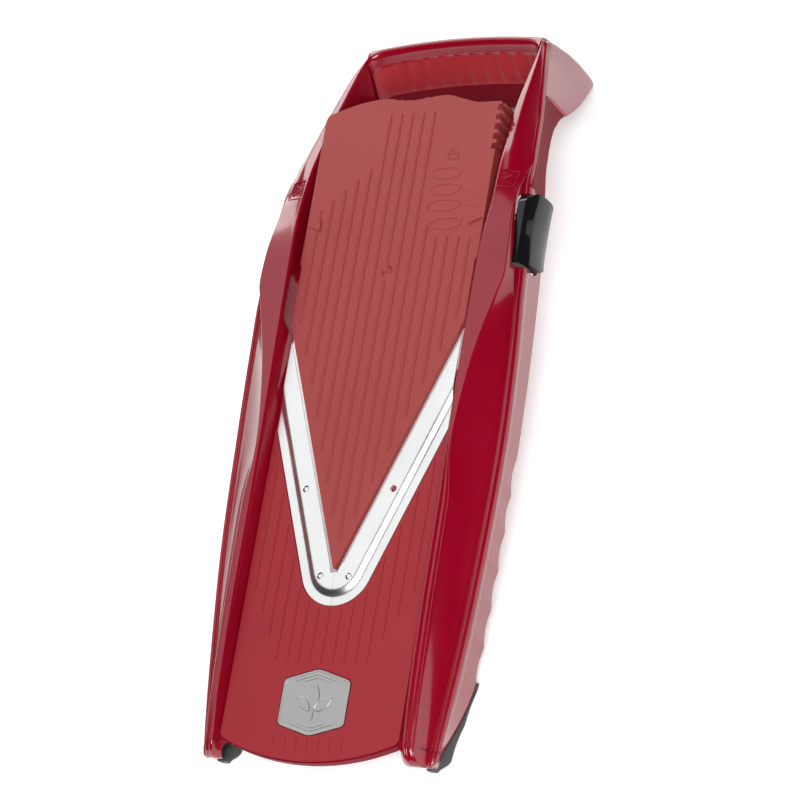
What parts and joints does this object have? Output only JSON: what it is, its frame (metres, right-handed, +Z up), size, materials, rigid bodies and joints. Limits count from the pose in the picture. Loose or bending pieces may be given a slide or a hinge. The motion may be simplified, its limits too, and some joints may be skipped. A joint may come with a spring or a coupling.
{
  "type": "mandoline slicer",
  "caption": "V-blade mandoline slicer with a sloping ribbed runway, rubber feet, sliding thickness insert, side push button and bowed handle.",
  "frame": {"origin": "centre of the part's footprint, on the table plane", "axes": "+Z up, +X to the user's right, +Y along the runway from the feet to the handle"},
  "size_m": [0.1468, 0.3798, 0.077],
  "materials": {
    "frame_gloss": "deep translucent-looking red, high gloss",
    "runway_matte": "red, satin moulded surface with fine raised ribs",
    "insert_matte": "dusty red, fine matte texture",
    "blade_steel": "bright rolled stainless sheet, ground edge",
    "badge_silver": "fine satin silver plate",
    "foot_rubber": "dark grey soft rubber",
    "button_black": "black, high gloss",
    "lever_grey": "dark grey nylon",
    "pin_steel": "plain steel pin, clip and spring"
  },
  "bodies": {
    "frame": {"left_rail": "frame_gloss", "right_rail": "frame_gloss", "handle_grip": "frame_gloss", "runway_deck": "runway_matte", "front_cross_rib": "frame_gloss", "rear_cross_rib": "frame_gloss", "left_guide": "frame_gloss", "right_guide": "frame_gloss", "left_blade": "blade_steel", "right_blade": "blade_steel", "blade_studs": "frame_gloss", "badge_plate": "badge_silver", "left_foot": "foot_rubber", "right_foot": "foot_rubber", "lever_pin": "pin_steel", "pin_clip": "pin_steel", "latch_spring": "pin_steel", "spring_post": "frame_gloss"},
    "insert": {"slide_insert": "insert_matte", "left_skirt": "insert_matte", "right_skirt": "insert_matte", "guide_lugs": "insert_matte"},
    "latch": {"push_button": "button_black", "latch_lever": "lever_grey", "latch_leaf": "lever_grey"}
  },
  "joints": [
    {"name": "insert_slide", "type": "slide", "parent": "frame", "child": "insert", "axis": [0, 0.9615, -0.2748], "range_m": [0, 0.0218], "deforming": ["latch_leaf"]},
    {"name": "button_press", "type": "hinge", "parent": "frame", "child": "latch", "pos_m": [0.055, 0.09662, 0.0691], "axis": [0, 0.14, -0.9901], "range_deg": [0, 4], "stiffness_Nm_per_rad": 0.6, "deforming": ["latch_spring"]}
  ]
}
